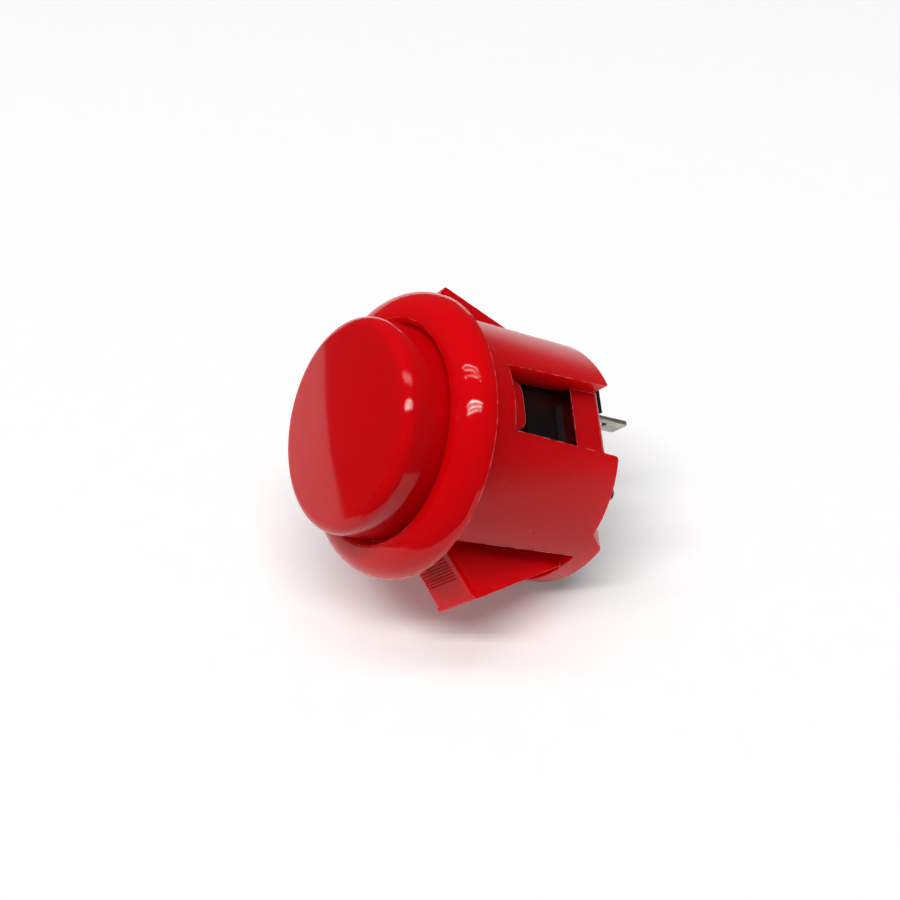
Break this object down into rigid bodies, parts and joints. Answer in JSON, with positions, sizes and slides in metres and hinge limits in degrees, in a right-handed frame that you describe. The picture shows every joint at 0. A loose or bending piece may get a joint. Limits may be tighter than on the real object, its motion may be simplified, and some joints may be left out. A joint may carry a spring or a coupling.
{
  "type": "arcade push button",
  "caption": "Round snap-in push button with a domed rim, slotted barrel with spring tabs, sliding hooked plunger and a rear snap-action switch with blade terminals.",
  "frame": {"origin": "centre of the seat under the rim, on the plane of the panel's face", "axes": "+Z along the plunger's axis, out of the panel; X through the two snap tabs; Y through the two windows"},
  "size_m": [0.0388, 0.0334, 0.0379],
  "materials": {
    "red_abs": "glossy moulded red ABS",
    "cap_red_abs": "glossy moulded red ABS with a fine satin top",
    "black_nylon": "matt moulded black nylon",
    "black_acetal": "smooth moulded black acetal",
    "tinned_brass": "satin tin plate on stamped brass",
    "spring_brass": "bare rolled spring strip",
    "contact_silver": "polished silver-alloy rivet",
    "spring_steel": "rolled steel leaf"
  },
  "bodies": {
    "housing_body": {"housing": "red_abs", "switch_cover": "black_nylon", "switch_base": "black_nylon", "open_terminal": "tinned_brass", "common_terminal": "tinned_brass", "fixed_contact": "contact_silver"},
    "plunger_body": {"plunger": "cap_red_abs"},
    "pusher_body": {"switch_pusher": "black_acetal"},
    "lever_body": {"actuating_lever": "spring_brass", "snap_spring": "spring_steel"},
    "arm_body": {"contact_arm": "spring_brass", "moving_contact": "contact_silver"}
  },
  "joints": [
    {"name": "plunger_slide", "type": "slide", "parent": "housing_body", "child": "plunger_body", "axis": [0, 0, -1], "range_m": [0, 0.0025], "stiffness_N_per_m": 150, "springref_m": -0.003},
    {"name": "pusher_slide", "type": "slide", "parent": "housing_body", "child": "pusher_body", "axis": [0, 0, -1], "range_m": [0, 0.0025]},
    {"name": "lever_hinge", "type": "hinge", "parent": "housing_body", "child": "lever_body", "pos_m": [0, 0.00603, -0.0152], "axis": [1, 0, 0], "range_deg": [0, 23.94], "deforming": ["snap_spring"]},
    {"name": "arm_hinge", "type": "hinge", "parent": "housing_body", "child": "arm_body", "pos_m": [0, 0.00603, -0.0161], "axis": [-1, 0, 0], "range_deg": [0, 3.04]}
  ],
  "couplings": [
    {"joint": "pusher_slide", "follows": "plunger_slide", "ratio": 1},
    {"joint": "lever_hinge", "follows": "plunger_slide", "rad_per_m": 167.05},
    {"joint": "arm_hinge", "follows": "plunger_slide", "rad_per_m": 21.199}
  ]
}
